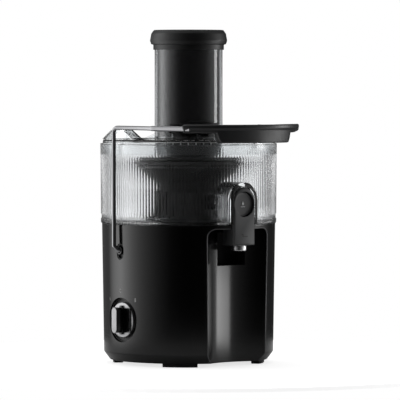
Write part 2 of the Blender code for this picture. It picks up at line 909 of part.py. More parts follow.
def pusher():
    lift = empty("pusher_axis", (0, 0, PUSHER_LOW), AXIS)
    turned(
        "pusher",
        [
            (0, PUSHER_LOW + 0.0025),
            (PUSHER_R - 0.0022, PUSHER_LOW + 0.0025),
            (PUSHER_R - 0.0022, CHUTE_TOP),
            (0.0376, CHUTE_TOP),
            (0.0376, 0.3765),
            (PUSHER_R, 0.3745),
            (PUSHER_R, PUSHER_LOW + 0.002),
            (PUSHER_R - 0.002, PUSHER_LOW),
            (0, PUSHER_LOW),
        ],
        "black_gloss",
        parent=lift,
    )
    turned(
        "pusher_cap",
        [
            (0, CAP_TOP),
            (0.042, CAP_TOP),
            (0.0455, 0.3985),
            (CAP_R, 0.389),
            (0.0455, 0.3848),
            (0.0427, 0.3842),
            (0.0427, 0.378),
            (0.0414, 0.378),
            (0.0414, CHUTE_TOP + GAP),
            (0.0304, CHUTE_TOP + GAP),
            (0.0304, 0.379),
            (0, 0.379),
        ],
        "charcoal",
        parent=lift,
    )


clear_scene()
PARTS = new_collection("centrifugal_juicer")
CUTTERS = new_collection("cutters")
AXIS = empty("spin_axis", (AXIS_X, AXIS_Y, 0))

motor_housing()
bottom()
rotary_switch()
pivots()
electrics()
motor()
rotor()
pulp_ring()
juice_bowl()
spout()
lid()
bail()
pusher()
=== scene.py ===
"""Looks for the centrifugal juicer: detailed pieces, procedural materials, studio light and camera.

Metres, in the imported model's frame. Places are counted from the spin axis, which comes from the CAD nodes.
"""

import json
import math

import bmesh
import bpy
from mathutils import Matrix, Vector


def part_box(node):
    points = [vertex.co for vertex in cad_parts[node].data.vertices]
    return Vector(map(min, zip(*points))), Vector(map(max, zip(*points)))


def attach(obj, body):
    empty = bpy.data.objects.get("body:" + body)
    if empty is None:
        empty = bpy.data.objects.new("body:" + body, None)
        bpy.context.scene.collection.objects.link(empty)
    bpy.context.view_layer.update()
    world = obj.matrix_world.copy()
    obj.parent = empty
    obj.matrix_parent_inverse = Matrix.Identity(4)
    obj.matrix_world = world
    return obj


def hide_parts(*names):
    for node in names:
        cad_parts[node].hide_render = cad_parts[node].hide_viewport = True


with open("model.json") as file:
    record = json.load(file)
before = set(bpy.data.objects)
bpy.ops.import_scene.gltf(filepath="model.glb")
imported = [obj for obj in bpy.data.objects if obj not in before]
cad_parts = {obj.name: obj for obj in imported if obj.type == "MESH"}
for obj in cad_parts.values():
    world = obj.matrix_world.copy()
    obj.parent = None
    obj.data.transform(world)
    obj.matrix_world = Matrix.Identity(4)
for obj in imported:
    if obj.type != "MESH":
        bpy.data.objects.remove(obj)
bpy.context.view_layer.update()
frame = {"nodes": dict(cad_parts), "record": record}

# Boxes of the CAD nodes
ring_low, ring_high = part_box("pulp_ring")
chute_low, chute_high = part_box("feed_chute")
house_low, house_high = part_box("motor_housing")
cover_low, cover_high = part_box("spout_cover")
bowl_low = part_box("juice_bowl")[0]
cap_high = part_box("pusher_cap")[1]
pusher_low, pusher_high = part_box("pusher")
knob_low, knob_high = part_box("knob_disc")
bar_low, bar_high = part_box("knob_bar")
inlay_low, inlay_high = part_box("knob_inlay")
grip_low, grip_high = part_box("bail_grip")
shaft_low, shaft_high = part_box("motor_shaft")
button_low, button_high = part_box("drip_button")
nozzle_low, nozzle_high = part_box("spout_nozzle")

# Places and sizes
AXIS = (shaft_low + shaft_high) / 2
AXIS.z = 0
RING_R = (ring_high.x - ring_low.x) / 2
RING_TOP = ring_high.z
RING_LOW = ring_low.z
LID_R = 0.1039
LID_TOP = 0.2705
SKIRT_LOW = 0.2532
CHUTE_R = 0.041
CHUTE_BORE = 0.0385
PUSHER_R = 0.0374
CHUTE_TOP = chute_high.z
CHUTE_LOW = chute_low.z
BASE_TOP = house_high.z
BASE_LOW = house_low.z
BASE_R = (house_high.x - house_low.x) / 2
BASE_R_LOW = BASE_R - 0.0024
BASE_R_CHAMFER = BASE_R - 0.0096
CHAMFER_TOP = 0.014
WALL = 0.003
BAY_R = 0.080
BAY_CENTRE = 0.159
BAY_TOP = 0.165
BAY_HALF = 0.047
BAY_CORNER = 0.0105
POCKET_HALF = 0.0213
POCKET_LOW = 0.120
POCKET_TOP = BAY_TOP - 0.005
POCKET_DEEP = 0.062
OUTLET_Z = (button_low.z + button_high.z) / 2
COVER_HALF = (cover_high.x - cover_low.x) / 2
COVER_FRONT = AXIS.y - cover_low.y
COVER_BACK = AXIS.y - cover_high.y
NICHE_HALF = 0.017
NICHE_TOP = 0.2152
NICHE_FRAME = 0.0212
NICHE_FRAME_TOP = 0.220
FRAME_LOW = RING_LOW + 0.0008
PIVOT_Z = 0.138
WELL_Z = PIVOT_Z - 0.0012
WIRE_R = 0.0025
BUTTRESS_TOP = 0.2817
LEG_X = 0.110
LEG_Y = 0.0045
WIRE_TOP = 0.2848
SOCKET = Vector((0.081, -0.106, 0.2835))
GRIP_CENTRE = -0.0287
GRIP_R = 0.0995
GRIP_REACH = 52
SKIRT_REACH = 30.5
BAND_LOW = 0.2788
KNOB_Z = (knob_low.z + knob_high.z) / 2
KNOB_R = (knob_high.z - knob_low.z) / 2
BEZEL_R = 0.0253
BEZEL_OUTER = 0.0264
BAR_HALF_Y = 0.0058
BAR_HALF_Z = 0.0152
PLATE_HALF_Y = 0.0176
PLATE_HALF_Z = 0.0146
POINTER_HALF_Z = 0.0150
MARK_REACH = 0.0350
MARK_TALL = 0.0046
RIBS = 166
RIB_DEPTH = 0.0003
# The basket's hole pattern: waves round the axis, radians for each metre of height, and cut-off
HOLE_COLUMNS = 120
HOLE_ROWS = 3000
HOLE_EDGE = 0.45
SIDES = ((-1, "left"), (1, "right"))

CAMERA_AZIMUTH = math.radians(-38.5)
CAMERA_FAR = 4.5
CAMERA_HEIGHT = 0.338
VIEW_WIDTH = 0.484
AIM_RIGHT = 0.0138
AIM_HEIGHT = 0.1964
BACKDROP_EDGE = 0.70
BACKDROP_FULL = 0.93
BACKDROP_REST = 0.14
# Brightness of the surroundings at degrees from the direction towards the camera
SIDE_LIGHT = (
    (0, 0.0), (25, 0.04), (42, 0.2), (60, 0.55), (70, 0.86), (80, 1.3), (91, 2.0), (103, 2.6),
    (117, 1.5), (133, 0.2), (180, 0.1),
)
SIDE_PEAK = 2.6
FLOOR_R = 0.4
FLOOR_GLOW = 0.75
RIGHT_SHARE = 0.3


# Materials


def math_node(tree, operation, *values):
    """A Math node's output. Each value is a number or another node's output."""
    made = tree.nodes.new("ShaderNodeMath")
    made.operation = operation
    for value, socket in zip(values, made.inputs):
        if isinstance(value, (int, float)):
            socket.default_value = value
        else:
            tree.links.new(value, socket)
    return made.outputs[0]


def ranged(tree, value, low, high, first, last, kind="SMOOTHSTEP"):
    """A value's range turned into another."""
    made = tree.nodes.new("ShaderNodeMapRange")
    made.interpolation_type = kind
    for socket, number in (("From Min", low), ("From Max", high), ("To Min", first), ("To Max", last)):
        made.inputs[socket].default_value = number
    tree.links.new(value, made.inputs["Value"])
    return made.outputs["Result"]


class Look:
    """A Principled material and short ways to add procedural detail to it."""

    def __init__(self, name, colour, roughness, metallic=0.0, **sockets):
        self.name = name
        self.material = bpy.data.materials.new(name)
        self.material.use_nodes = True
        self.tree = self.material.node_tree
        self.shader = self.tree.nodes["Principled BSDF"]
        self.shader.inputs["Base Color"].default_value = (*colour, 1)
        self.shader.inputs["Roughness"].default_value = roughness
        self.shader.inputs["Metallic"].default_value = metallic
        for socket, value in sockets.items():
            self.shader.inputs[socket.replace("_", " ")].default_value = value

    def node(self, kind, **values):
        made = self.tree.nodes.new(kind)
        for key, value in values.items():
            if key in made.inputs:
                made.inputs[key].default_value = value
            else:
                setattr(made, key, value)
        return made

    def link(self, start, end):
        self.tree.links.new(start, end)

    def place(self, scale=(1, 1, 1)):
        """Object coordinates, stretched."""
        where = self.node("ShaderNodeTexCoord")
        mapping = self.node("ShaderNodeMapping")
        mapping.inputs["Scale"].default_value = scale
        self.link(where.outputs["Object"], mapping.inputs["Vector"])
        return mapping.outputs["Vector"]

    def noise(self, scale, detail=4.0, stretch=(1, 1, 1)):
        made = self.node("ShaderNodeTexNoise", Scale=scale, Detail=detail)
        self.link(self.place(stretch), made.inputs["Vector"])
        return made.outputs["Fac"]

    def spread(self, value, low, high):
        """A noise value, mostly within 0.3 to 0.7, turned into a range."""
        return ranged(self.tree, value, 0.3, 0.7, low, high, "LINEAR")

    def roughen(self, scale, low, high, stretch=(1, 1, 1)):
        """Roughness that varies between two values."""
        self.link(self.spread(self.noise(scale, 5, stretch), low, high), self.shader.inputs["Roughness"])
        return self

    def tint(self, scale, first, second, stretch=(1, 1, 1)):
        """A colour that varies between two."""
        return self.blend(self.spread(self.noise(scale, 4, stretch), 0, 1), first, second)

    def blend(self, share, first, second):
        """A colour between two, by a share of 0 to 1."""
        mix = self.node("ShaderNodeMix", data_type="RGBA")
        mix.inputs[6].default_value = (*first, 1)
        mix.inputs[7].default_value = (*second, 1)
        self.link(share, mix.inputs[0])
        self.link(mix.outputs[2], self.shader.inputs["Base Color"])
        return self

    def bump(self, height, strength, distance):
        made = self.node("ShaderNodeBump", Strength=strength, Distance=distance)
        self.link(height, made.inputs["Height"])
        before = self.shader.inputs["Normal"].links
        if before:
            self.link(before[0].from_socket, made.inputs["Normal"])
        self.link(made.outputs["Normal"], self.shader.inputs["Normal"])
        return self

    def grain(self, scale, strength, distance=0.0002, stretch=(1, 1, 1)):
        return self.bump(self.noise(scale, 3, stretch), strength, distance)

    def bands(self, scale, strength, direction="Z", distance=0.0003):
        wave = self.node("ShaderNodeTexWave", Scale=scale, bands_direction=direction)
        self.link(self.place(), wave.inputs["Vector"])
        return self.bump(wave.outputs["Fac"], strength, distance)


def make_looks():
    clear = {"Transmission_Weight": 1.0, "IOR": 1.47, "Specular_IOR_Level": 0.5}
    ribbed = {"Transmission_Weight": 1.0, "IOR": 1.38, "Specular_IOR_Level": 0.6}
    looks = [
        Look("black_gloss", (0.0016, 0.0016, 0.0018), 0.17)
        .roughen(14, 0.15, 0.19)
        .grain(900, 0.015),
        Look("black_matte", (0.016, 0.016, 0.017), 0.5)
        .roughen(60, 0.42, 0.56)
        .grain(1400, 0.25, 0.0001),
        Look("black_liner", (0.002, 0.002, 0.0021), 0.7, Specular_IOR_Level=0.2)
        .roughen(60, 0.6, 0.8),
        # Mid grey for the tube on the black base's bay edge: a painted highlight of the rounded edge.
        Look("rim_highlight_grey", (0.09, 0.09, 0.093), 0.3).roughen(60, 0.26, 0.34),
        Look("black_pusher", (0.0016, 0.0016, 0.0018), 0.15)
        .roughen(20, 0.13, 0.17)
        .grain(800, 0.01),
        Look("charcoal", (0.012, 0.0125, 0.013), 0.42)
        .tint(30, (0.011, 0.0115, 0.012), (0.014, 0.0145, 0.015))
        .roughen(50, 0.38, 0.48)
        .grain(1600, 0.3, 0.0001),
        Look("grey_satin", (0.05, 0.051, 0.053), 0.42)
        .tint(25, (0.047, 0.048, 0.05), (0.053, 0.054, 0.056))
        .roughen(40, 0.38, 0.46)
        .grain(1500, 0.2, 0.0001),
        Look("grey_grip", (0.028, 0.0285, 0.0295), 0.34)
        .tint(25, (0.0265, 0.027, 0.028), (0.0295, 0.03, 0.031))
        .roughen(40, 0.31, 0.37)
        .grain(1500, 0.2, 0.0001),
        Look("disc_silver", (0.34, 0.34, 0.345), 0.36, 1.0).roughen(25, 0.32, 0.4),
        Look("pointer_silver", (0.3, 0.3, 0.305), 0.34, 1.0).roughen(60, 0.3, 0.38),
        Look("bright_steel", (0.9, 0.9, 0.91), 0.32, 1.0).roughen(60, 0.28, 0.36),
        Look("pale_grey", (0.8, 0.81, 0.82), 0.35)
        .roughen(60, 0.3, 0.42)
        .grain(1500, 0.1, 0.0001),
        Look("print", (0.6, 0.6, 0.6), 0.5)
        .tint(400, (0.56, 0.56, 0.56), (0.64, 0.64, 0.64)),
        Look("print_dark", (0.008, 0.008, 0.008), 0.5)
        .tint(400, (0.006, 0.006, 0.006), (0.011, 0.011, 0.011)),
        Look("clear", (0.93, 0.945, 0.95), 0.02, **clear)
        .roughen(30, 0.0, 0.02)
        .grain(60, 0.004, 0.0004),
        Look("clear_ribbed", (0.9, 0.91, 0.92), 0.12, **ribbed).roughen(40, 0.11, 0.15),
        Look("clear_chute", (0.56, 0.57, 0.58), 0.02, **clear).roughen(30, 0.0, 0.02),
        # Pale frosted white for the small ticks on the lid rim: painted highlights.
        Look("frosted_highlight", (0.8, 0.81, 0.82), 0.6)
        .roughen(60, 0.5, 0.7)
        .grain(900, 0.1, 0.0001),
        Look("smoke", (0.035, 0.0352, 0.0356), 0.34)
        .roughen(30, 0.22, 0.34)
        .grain(700, 0.05),
        Look("silver", (0.7, 0.7, 0.71), 0.34, 1.0).roughen(25, 0.3, 0.38),
        Look("chrome", (0.34, 0.34, 0.35), 0.18, 1.0).roughen(60, 0.16, 0.22),
        Look("steel", (0.56, 0.56, 0.57), 0.3, 1.0)
        .roughen(40, 0.22, 0.38, (1, 1, 14))
        .grain(500, 0.08, 0.0001, (1, 1, 16)),
        Look("laminate", (0.26, 0.27, 0.28), 0.42, 0.9)
        .roughen(50, 0.36, 0.5)
        .bands(320, 0.5),
        Look("copper", (0.55, 0.24, 0.1), 0.32, 1.0)
        .tint(120, (0.5, 0.21, 0.09), (0.62, 0.29, 0.13))
        .bands(260, 0.5),
        Look("rubber", (0.016, 0.016, 0.016), 0.75)
        .roughen(50, 0.68, 0.84)
        .grain(900, 0.3, 0.0002),
        Look("nylon", (0.7, 0.68, 0.62), 0.5)
        .tint(30, (0.67, 0.65, 0.59), (0.73, 0.71, 0.65))
        .grain(800, 0.1),
        Look("board", (0.03, 0.16, 0.06), 0.4)
        .tint(220, (0.02, 0.12, 0.05), (0.06, 0.24, 0.09), (1, 6, 1))
        .grain(300, 0.2),
        Look("carbon", (0.03, 0.03, 0.032), 0.6).roughen(200, 0.5, 0.7).grain(900, 0.3),
        perforated(),
    ]
    return {look.name: look for look in looks}


def perforated():
    """Etched steel sheet: rows of small dark holes round the spin axis."""
    look = Look("mesh_steel", (0.5, 0.5, 0.51), 0.3, 1.0)
    parts = look.node("ShaderNodeSeparateXYZ")
    look.link(look.node("ShaderNodeTexCoord").outputs["Object"], parts.inputs["Vector"])
    x, y, z = parts.outputs
    turn = math_node(look.tree, "ARCTAN2", y, x)
    across = math_node(look.tree, "SINE", math_node(look.tree, "MULTIPLY", turn, HOLE_COLUMNS))
    along = math_node(look.tree, "SINE", math_node(look.tree, "MULTIPLY", z, HOLE_ROWS))
    both = math_node(look.tree, "MULTIPLY", across, along)
    hole = math_node(look.tree, "GREATER_THAN", both, HOLE_EDGE)
    look.blend(hole, (0.5, 0.5, 0.51), (0.02, 0.02, 0.02))
    return look.bump(both, 0.3, 0.0002)


LOOKS = make_looks()


# Mesh helpers


def placed(name, data):
    """A new object in the scene."""
    made = bpy.data.objects.new(name, data)
    bpy.context.scene.collection.objects.link(made)
    return made


def piece(name, data, look, body, replaces=(), smooth=35):
    """Puts a finished mesh, whose places count from the spin axis, on its body."""
    made = placed(name, data)
    made.location = AXIS
    data.materials.clear()
    data.materials.append(LOOKS[look].material)
    if smooth:
        data.shade_smooth()
        data.set_sharp_from_angle(angle=math.radians(smooth))
    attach(made, body)
    if replaces:
        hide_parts(*replaces)
    return made


def mesh_from(name, points, faces):
    data = bpy.data.meshes.new(name)
    data.from_pydata([tuple(p) for p in points], [], faces)
    shape = bmesh.new()
    shape.from_mesh(data)
    bmesh.ops.remove_doubles(shape, verts=shape.verts, dist=1e-7)
    bmesh.ops.recalc_face_normals(shape, faces=shape.faces)
    shape.to_mesh(data)
    shape.free()
    return data


def arc(radius, start, end, count, centre=(0, 0)):
    points = []
    for i in range(count + 1):
        angle = math.radians(start + (end - start) * i / count)
        points.append((centre[0] + radius * math.cos(angle), centre[1] + radius * math.sin(angle)))
    return points


def rounding(start, corner, end, t):
    """A point on the quadratic curve that rounds a corner."""
    return start * (1 - t) ** 2 + corner * 2 * t * (1 - t) + end * t**2


def eased(corners, count=5):
    """An outline of (x, y, fillet) corners, each rounded by a curve of about that radius."""
    points = []
    total = len(corners)
    for i, (x, y, radius) in enumerate(corners):
        here = Vector((x, y))
        if not radius:
            points.append(here)
            continue
        before = Vector(corners[(i - 1) % total][:2])
        after = Vector(corners[(i + 1) % total][:2])
        back = (before - here).normalized()
        on = (after - here).normalized()
        half = back.angle(on) / 2
        reach = min(radius / math.tan(half), (before - here).length * 0.49, (after - here).length * 0.49)
        start = here + back * reach
        end = here + on * reach
        for k in range(count + 1):
            points.append(rounding(start, here, end, k / count))
    return [tuple(p) for p in points]


def revolve(name, profile, steps=160, wave=None):
    """A turned mesh from a (radius, height) profile down the outer side; wave moves the radius."""
    on_axis = profile[0][0] < 1e-6
    rows = len(profile)
    points = []
    for j in range(steps):
        angle = 2 * math.pi * j / steps
        for row, (radius, z) in enumerate(profile):
            r = radius + (wave(row, angle, z) if wave else 0)
            points.append((r * math.cos(angle), r * math.sin(angle), z))
    faces = []
    last = rows - 1 if on_axis else rows
    for j in range(steps):
        k = (j + 1) % steps
        for i in range(last):
            n = (i + 1) % rows
            faces.append((j * rows + i, j * rows + n, k * rows + n, k * rows + i))
    return mesh_from(name, points, faces)


def turned(name, corners, steps, count=5):
    """A turned mesh from a profile of (radius, height, fillet) corners."""
    return revolve(name, eased(corners, count), steps)


def loft(name, loops, closed=False):
    """Skins a row of equal loops and closes both ends, unless the row itself is closed."""
    count = len(loops[0])
    points = [p for loop in loops for p in loop]
    faces = []
    rows = len(loops)
    for i in range(rows if closed else rows - 1):
        n = (i + 1) % rows
        for j in range(count):
            k = (j + 1) % count
            faces.append((i * count + j, i * count + k, n * count + k, n * count + j))
    if not closed:
        faces.append(tuple(reversed(range(count))))
        faces.append(tuple(range((rows - 1) * count, rows * count)))
    return mesh_from(name, points, faces)


def layered(name, layers, outline):
    """Skins the outlines that a function gives for the inset of each (depth, inset) layer."""
    return loft(name, [[(x, -depth, z) for x, z in outline(inset)] for depth, inset in layers])


def tube(name, path, radius, sides=16, closed=False):
    """A round bar along a path. The radius may be one number or one for each point."""
    path = [Vector(p) for p in path]
    total = len(path)
    loops = []
    side = None
    for i, here in enumerate(path):
        before = path[(i - 1) % total] if closed else path[max(i - 1, 0)]
        after = path[(i + 1) % total] if closed else path[min(i + 1, total - 1)]
        way = (after - before).normalized()
        if side is None:
            side = way.orthogonal().normalized()
        side = (side - way * side.dot(way)).normalized()
        other = way.cross(side)
        r = radius[i] if isinstance(radius, (list, tuple)) else radius
        loop = []
        for j in range(sides):
            a = 2 * math.pi * j / sides
            loop.append(here + side * r * math.cos(a) + other * r * math.sin(a))
        loops.append(loop)
    return loft(name, loops, closed)


def prism(name, outline, low, high, across="y"):
    """An outline made thick across one axis. The outline gives the other two, in the order x, y, z."""
    loops = []
    for depth in (low, high):
        if across == "y":
            loops.append([(a, depth, b) for a, b in outline])
        else:
            loops.append([(depth, a, b) for a, b in outline])
    return loft(name, loops)


def turned_to(data, turn, at):
    """The mesh turned from its own +Z axis and moved."""
    data.transform(Matrix.Translation(Vector(at)) @ turn.to_4x4())
    return data


def boolean(data, tool, operation="DIFFERENCE"):
    """The mesh cut by, joined with or kept inside another mesh."""
    first = placed("working", data)
    second = placed("tool", tool)
    step = first.modifiers.new("step", "BOOLEAN")
    step.operation = operation
    step.solver = "EXACT"
    step.object = second
    bpy.context.view_layer.update()
    graph = bpy.context.evaluated_depsgraph_get()
    made = bpy.data.meshes.new_from_object(first.evaluated_get(graph))
    for obj in (first, second):
        bpy.data.objects.remove(obj)
    return made


def cut(data, *tools):
    """The mesh with other meshes cut away one after another."""
    for tool in tools:
        data = boolean(data, tool)
    return data


def filleted(corners, radius, count=8):
    """The points of a bent wire, each inner corner rounded."""
    points = [Vector(corners[0])]
    for before, here, after in zip(corners, corners[1:], corners[2:]):
        here = Vector(here)
        back = (Vector(before) - here).normalized()
        on = (Vector(after) - here).normalized()
        reach = radius / math.tan(back.angle(on) / 2)
        for i in range(count + 1):
            points.append(rounding(here + back * reach, here, here + on * reach, i / count))
    points.append(Vector(corners[-1]))
    return points


def joined(name, meshes):
    """Many small meshes as one."""
    shape = bmesh.new()
    for data in meshes:
        shape.from_mesh(data)
        bpy.data.meshes.remove(data)
    made = bpy.data.meshes.new(name)
    shape.to_mesh(made)
    shape.free()
    return made


def arch(half, low, top, count=32):
    return [(-half, low), (half, low)] + arc(half, 0, 180, count, (0, top - half))


def capsule(half, tall, middle):
    """An upright outline with round ends."""
    upper = arc(half, 0, 180, 16, (0, middle + tall - half))
    return upper + arc(half, 180, 360, 16, (0, middle + half - tall))


def rounded(half_across, half_up, radius, middle):
    """An upright rectangle's outline with rounded corners."""
    signs = ((1, 1), (-1, 1), (-1, -1), (1, -1))
    return eased([(half_across * a, middle + half_up * b, radius) for a, b in signs])


def facing(normal):
    """The turn that takes +Z to a normal."""
    return Vector((0, 0, 1)).rotation_difference(Vector(normal)).to_matrix()


# Motor base


def bay_mesh(grow):
    radius = BAY_R + grow
    top = BAY_TOP + grow
    tool = revolve("bay", [(0, top), (radius, top), (radius, -0.01), (0, -0.01)], 256)
    tool.transform(Matrix.Translation((0, -BAY_CENTRE, 0)))
    if grow:
        return tool
    outline = [(-BAY_HALF, -0.02), (BAY_HALF, -0.02)]
    outline += arc(BAY_CORNER, 0, 90, 12, (BAY_HALF - BAY_CORNER, BAY_TOP - BAY_CORNER))
    outline += arc(BAY_CORNER, 90, 180, 12, (BAY_CORNER - BAY_HALF, BAY_TOP - BAY_CORNER))
    return boolean(tool, prism("face", outline, -0.15, -0.05), "INTERSECT")


def block(low, high):
    shape = bmesh.new()
    size = Vector(high) - Vector(low)
    middle = (Vector(high) + Vector(low)) / 2
    bmesh.ops.create_cube(shape, size=1, matrix=Matrix.Translation(middle) @ Matrix.Diagonal((*size, 1)))
    data = bpy.data.meshes.new("block")
    shape.to_mesh(data)
    shape.free()
    return data


def drum(radius, start, end, steps=64):
    """A plain cylinder from one point to another."""
    start = Vector(start)
    way = Vector(end) - start
    data = revolve("drum", [(0, way.length), (radius, way.length), (radius, 0), (0, 0)], steps)
    return turned_to(data, facing(way), start)


def base_radius(z):
    """The casing's outer radius at a height."""
    if z > CHAMFER_TOP:
        return BASE_R_LOW + (BASE_R - BASE_R_LOW) * (z - CHAMFER_TOP) / (BASE_TOP - CHAMFER_TOP)
    return BASE_R_CHAMFER + (BASE_R_LOW - BASE_R_CHAMFER) * (z - BASE_LOW) / (CHAMFER_TOP - BASE_LOW)


def true_normals(data):
    """Sets the exact normals of the round outer wall and the round bay, which a Boolean leaves uneven."""
    normals = []
    for face in data.polygons:
        centre = face.center
        outer = Vector((centre.x, centre.y)).length > base_radius(centre.z) - 0.0004
        outer = outer and face.normal.z < 0.3 and CHAMFER_TOP + 0.004 < centre.z < BASE_TOP - 0.0015
        far = Vector((centre.x, centre.y + BAY_CENTRE))
        bay = abs(far.length - BAY_R) < 0.0003 and abs(face.normal.z) < 0.2 and centre.z < BAY_TOP - 0.0005
        for loop in face.loop_indices:
            place = data.vertices[data.loops[loop].vertex_index].co
            if outer:
                normals.append(Vector((place.x, place.y, 0)).normalized() + Vector((0, 0, -0.0155)))
            elif bay:
                normals.append(-Vector((place.x, place.y + BAY_CENTRE, 0)).normalized())
            else:
                normals.append(Vector(data.corner_normals[loop].vector))
    data.normals_split_custom_set([n.normalized() for n in normals])


def motor_housing():
    profile = [
        (0, BASE_TOP, 0),
        (BASE_R, BASE_TOP, 0.0010),
        (BASE_R_LOW, CHAMFER_TOP, 0.004),
        (BASE_R_CHAMFER, BASE_LOW, 0.0008),
        (0, BASE_LOW, 0),
    ]
    hollow = revolve(
        "hollow",
        [
            (0, BASE_TOP - 0.006),
            (BASE_R - WALL, BASE_TOP - 0.006),
            (BASE_R_LOW - WALL, CHAMFER_TOP + 0.001),
            (BASE_R_CHAMFER - WALL, BASE_LOW),
            (BASE_R_CHAMFER - WALL, -0.01),
            (0, -0.01),
        ],
        96,
    )
    backing = block(
        (-POCKET_HALF - WALL, -0.15, POCKET_LOW - WALL),
        (POCKET_HALF + WALL, -POCKET_DEEP + WALL, BASE_TOP),
    )
    # Hollow, bay, nozzle pocket, spout seat, then holes for the shaft, the switch and the cord
    shell = cut(
        turned("housing", profile, 240),
        cut(hollow, bay_mesh(WALL), backing),
        bay_mesh(0),
        block((-POCKET_HALF, -0.10, POCKET_LOW), (POCKET_HALF, -POCKET_DEEP, POCKET_TOP)),
        block((-0.0173, -0.12, 0.15), (0.0173, -0.0835, 0.18)),
        drum(0.014, (0, 0, 0.15), (0, 0, 0.18)),
        drum(BEZEL_OUTER + 0.0003, (-0.12, 0, KNOB_Z), (-0.08, 0, KNOB_Z), 96),
        drum(0.0085, (0, 0.08, 0.03), (0, 0.12, 0.03)),
    )
    for side in (-1, 1):
        outline = capsule(0.0066, 0.0098, WELL_Z)
        low = min(side * 0.09, side * 0.12)
        shell = boolean(shell, prism("slot", outline, low, low + 0.03, across="x"))
    made = piece("housing_shell", shell, "black_gloss", "base", replaces=["motor_housing"])
    true_normals(made.data)
    pocket_liner()
    bay_rims()


def pocket_liner():
    """A thin matt skin on the pocket behind the nozzle."""
    skin = 0.0004
    low = (skin - POCKET_HALF, -0.10, POCKET_LOW + skin)
    high = (POCKET_HALF - skin, -POCKET_DEEP - skin, BAY_TOP)
    liner = cut(
        block((-POCKET_HALF, -0.0865, POCKET_LOW), (POCKET_HALF, -POCKET_DEEP, POCKET_TOP)),
        block(low, high),
        drum(BAY_R + 0.0003, (0, -BAY_CENTRE, 0), (0, -BAY_CENTRE, 0.2), 128),
    )
    piece("pocket_liner", liner, "black_liner", "base", smooth=0)


def bay_rims():
    """A thin grey tube along the glass bay's rounded edge, a painted highlight on that edge, in two halves
    that end behind the spout.
    """
    for side, word in SIDES:
        path = []
        for z in (0.0062, 0.010, CHAMFER_TOP, 0.05, 0.10, 0.150):
            r = base_radius(z) - 0.0004
            y = -(r * r + BAY_CENTRE**2 - BAY_R**2) / (2 * BAY_CENTRE)
            path.append((side * math.sqrt(r * r - y * y), y, z))
        edge = path[-1][0]
        for i in range(1, 9):
            angle = math.radians(90 * i / 8)
            x = edge - side * BAY_CORNER * (1 - math.cos(angle))
            z = BAY_TOP - BAY_CORNER + BAY_CORNER * math.sin(angle)
            r = base_radius(z) - 0.0004
            path.append((x, -math.sqrt(r * r - x * x), z))
        for x in (0.030, 0.024, 0.0180):
            r = base_radius(BAY_TOP) - 0.0004
            path.append((side * x, -math.sqrt(r * r - x * x), BAY_TOP))
        piece(f"bay_rim_{word}", tube("rim", path, 0.0007, 10), "rim_highlight_grey", "base")


def pivots():
    """Oblong wells in the side walls, each with a boss that holds the wire's pin."""
    for side, word in SIDES:
        well = cut(
            prism("well", capsule(0.0063, 0.0095, WELL_Z), side * 0.0975, side * 0.1033, across="x"),
            prism("inner", capsule(0.0052, 0.0084, WELL_Z), side * 0.1005, side * 0.12, across="x"),
            drum(WIRE_R + 0.0003, (side * 0.09, 0, PIVOT_Z), (side * 0.12, 0, PIVOT_Z), 32),
        )
        piece(f"pivot_well_{word}", well, "black_matte", "base", replaces=[f"pivot_bush_{word}"])
        corners = [(0.0048, 0.0052, 0.0008), (0.0048, 0, 0), (0.0029, 0, 0), (0.0029, 0.0052, 0.0003)]
        boss = turned("boss", corners, 48)
        turned_to(boss, facing((side, 0, 0)), (side * 0.1006, 0, PIVOT_Z))
        piece(f"pivot_boss_{word}", boss, "black_gloss", "base")


def feet():
    names = ("foot_rear_right", "foot_rear_left", "foot_front_left", "foot_front_right")
    low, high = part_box(names[0])
    for i, name in enumerate(names):
        loops = []
        for k in range(17):
            t = k / 16
            ease = 0.0012 * (1 - min(1, min(t, 1 - t) * 10))
            angle = math.radians(45 + 90 * i - 13.5 + 27 * t)
            section = eased(
                [
                    (0.0915 - ease, high.z, 0.0003),
                    (0.0915 - ease, low.z, 0.0009),
                    (0.079 + ease, low.z, 0.0009),
                    (0.079 + ease, high.z, 0.0003),
                ],
                3,
            )
            loops.append([(r * math.cos(angle), r * math.sin(angle), z) for r, z in section])
        piece(f"{name}_pad", loft("pad", loops), "rubber", "base", replaces=[name])


